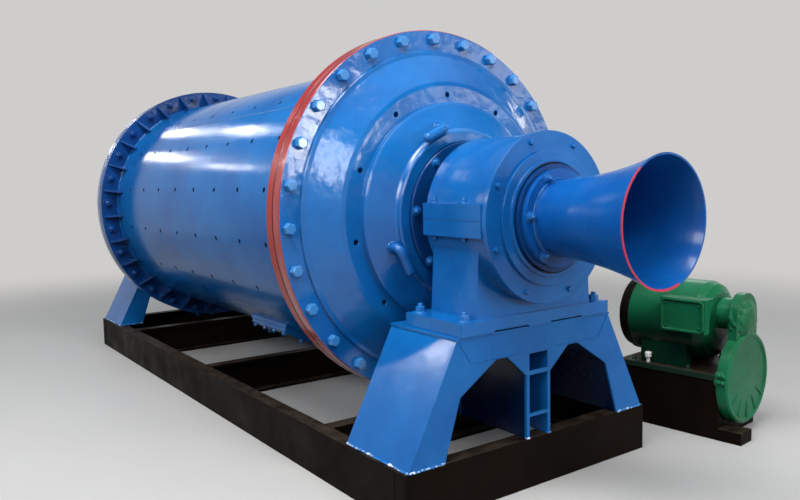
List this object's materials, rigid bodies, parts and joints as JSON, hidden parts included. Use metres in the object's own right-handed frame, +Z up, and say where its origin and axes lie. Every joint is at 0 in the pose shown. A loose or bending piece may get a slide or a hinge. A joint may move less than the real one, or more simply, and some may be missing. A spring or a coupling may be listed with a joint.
{
  "type": "ball mill",
  "caption": "Horizontal ball mill: a bolted grinding drum with stepped end covers and a discharge horn, on two trunnion bearings, stands and a base frame, with its drive motor beside it.",
  "frame": {"origin": "on the floor, at the underside of the middle cross beam, under the middle of the drum", "axes": "+Y along the drum's axis towards the feed end, so the discharge horn points to -Y; +X towards the side where the motor stands; +Z up"},
  "size_m": [2.4445, 5.156, 2.0699],
  "materials": {
    "paint_blue": "gloss enamel on welded steel plate",
    "cast_blue": "gloss enamel on cast steel and cast iron",
    "paint_red": "satin red primer",
    "base_black": "satin black paint on rolled steel",
    "motor_green": "gloss green enamel on cast iron",
    "bush_bronze": "machined bronze"
  },
  "bodies": {
    "frame": {"base_left_beam": "base_black", "base_right_beam": "base_black", "base_front_beam": "base_black", "base_rear_beam": "base_black", "base_cross_beam_front": "base_black", "base_cross_beam_middle": "base_black", "base_cross_beam_rear": "base_black", "front_stand": "paint_blue", "front_stand_top": "paint_blue", "front_stand_ladder": "paint_blue", "rear_stand": "paint_blue", "rear_stand_top": "paint_blue", "rear_stand_ladder": "paint_blue", "front_bearing_base": "cast_blue", "front_bearing_cap": "cast_blue", "front_bearing_bush": "bush_bronze", "front_bearing_ring": "cast_blue", "front_bearing_seal": "cast_blue", "rear_bearing_base": "cast_blue", "rear_bearing_cap": "cast_blue", "rear_bearing_bush": "bush_bronze", "rear_bearing_ring": "cast_blue", "rear_bearing_seal": "cast_blue", "motor_pedestal": "base_black", "motor_body": "motor_green", "motor_terminal_box": "motor_green", "motor_neck": "motor_green", "motor_gear_case": "motor_green"},
    "drum": {"shell": "paint_blue", "front_shell_flange": "paint_red", "rear_shell_flange": "paint_blue", "manhole_frame": "paint_blue", "manhole_cover": "paint_blue", "front_end_cover": "cast_blue", "rear_end_cover": "cast_blue", "front_trunnion": "cast_blue", "rear_trunnion": "cast_blue", "cover_lifting_lugs": "paint_blue", "discharge_horn": "paint_blue", "feed_collar": "paint_blue"}
  },
  "joints": [
    {"name": "drum_spin", "type": "hinge", "parent": "frame", "child": "drum", "pos_m": [0, 0, 1.18], "axis": [0, 1, 0], "continuous": true}
  ]
}
